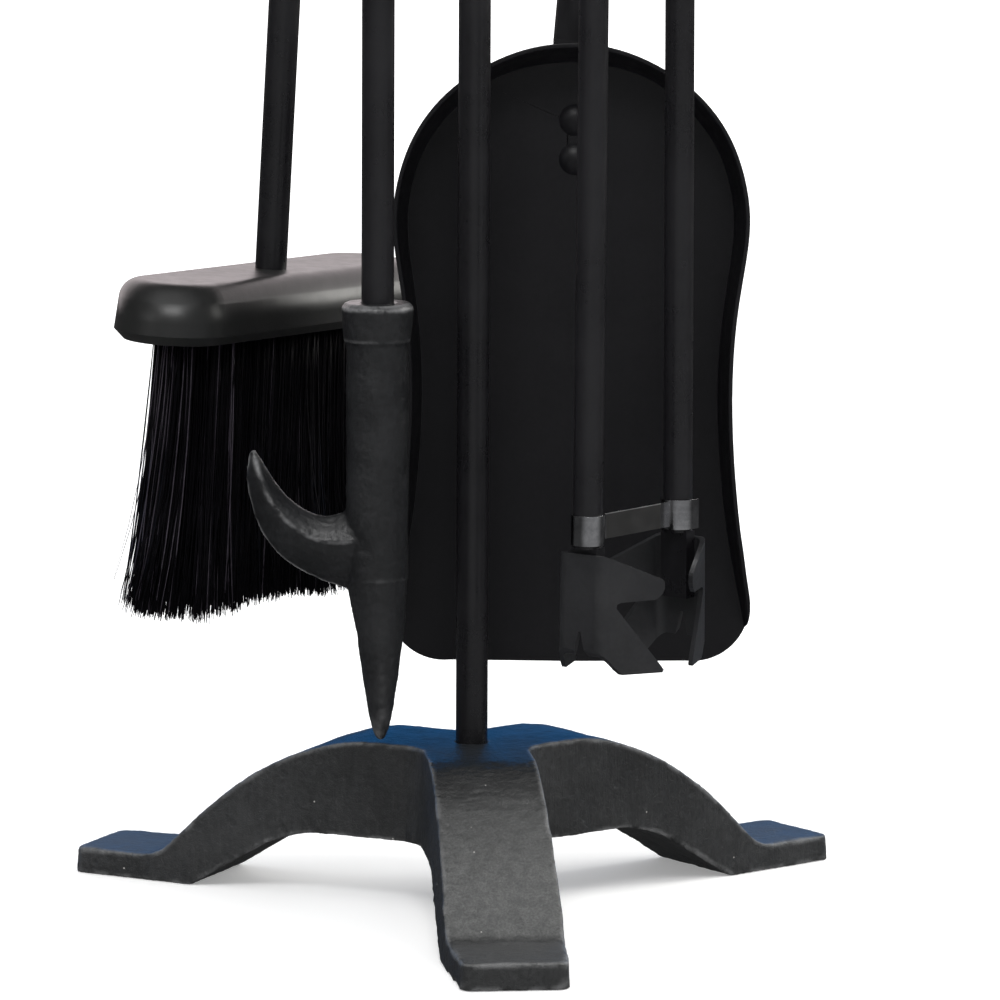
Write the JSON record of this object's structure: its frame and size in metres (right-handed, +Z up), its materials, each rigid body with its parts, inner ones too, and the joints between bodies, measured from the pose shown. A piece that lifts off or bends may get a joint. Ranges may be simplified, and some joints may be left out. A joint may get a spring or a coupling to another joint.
{
  "type": "fireplace tool set",
  "caption": "Fireside companion set: cast three-legged stand with a pole and peg hanger, carrying a hooked poker, hearth brush, ash shovel and coal tongs, all in black.",
  "frame": {"origin": "middle of the set's footprint on the hearth", "axes": "+Z up along the pole; -Y towards the front leg, which is the side the set is looked at from"},
  "size_m": [0.2434, 0.2348, 0.64],
  "materials": {
    "cast_black": "black painted rough casting",
    "rod_black": "satin black",
    "pan_black": "satin black sheet",
    "jaw_black": "satin black pressed steel",
    "grip_black": "satin black",
    "brush_plastic": "satin moulded black",
    "bristle": "black fibre",
    "plated": "bright plated strap",
    "zinc_steel": "zinc plated"
  },
  "bodies": {
    "stand": {"base_casting": "cast_black", "base_washer": "zinc_steel", "base_bolt": "zinc_steel", "stand_pole": "rod_black", "pole_foot_insert": "zinc_steel", "hanger_casting": "cast_black", "hanger_pegs": "rod_black", "stand_finial": "rod_black"},
    "poker": {"poker_eye": "rod_black", "poker_handle": "grip_black", "poker_rod": "rod_black", "poker_head": "cast_black"},
    "brush": {"brush_eye": "rod_black", "brush_handle": "grip_black", "brush_rod": "rod_black", "brush_head": "brush_plastic", "brush_bristles": "bristle"},
    "shovel": {"shovel_eye": "rod_black", "shovel_handle": "grip_black", "shovel_rod": "rod_black", "shovel_pan": "pan_black", "shovel_rivets": "pan_black"},
    "tongs": {"tongs_eye": "rod_black", "tongs_handle": "grip_black", "tongs_stem": "rod_black", "tongs_yoke": "rod_black", "tongs_pivot_pins": "jaw_black"},
    "tongs_left": {"tongs_arm_left": "rod_black", "tongs_jaw_left": "jaw_black", "tongs_clip": "plated"},
    "tongs_right": {"tongs_arm_right": "rod_black", "tongs_jaw_right": "jaw_black"}
  },
  "joints": [
    {"name": "poker_lift_off", "type": "slide", "parent": "stand", "child": "poker", "axis": [-0.6124, -0.6124, 0.5], "range_m": [0, 0.2]},
    {"name": "brush_lift_off", "type": "slide", "parent": "stand", "child": "brush", "axis": [-0.6124, 0.6124, 0.5], "range_m": [0, 0.2]},
    {"name": "shovel_lift_off", "type": "slide", "parent": "stand", "child": "shovel", "axis": [0.6124, 0.6124, 0.5], "range_m": [0, 0.2]},
    {"name": "tongs_lift_off", "type": "slide", "parent": "stand", "child": "tongs", "axis": [0.6124, -0.6124, 0.5], "range_m": [0, 0.2]},
    {"name": "tongs_left_open", "type": "hinge", "parent": "tongs", "child": "tongs_left", "pos_m": [0.03087, -0.04389, 0.48], "axis": [-0.7071, 0.7071, 0], "range_deg": [0, 6]},
    {"name": "tongs_right_open", "type": "hinge", "parent": "tongs", "child": "tongs_right", "pos_m": [0.05894, -0.01582, 0.48], "axis": [0.7071, -0.7071, 0], "range_deg": [0, 6]}
  ],
  "couplings": [
    {"joint": "tongs_right_open", "follows": "tongs_left_open", "ratio": 1}
  ]
}
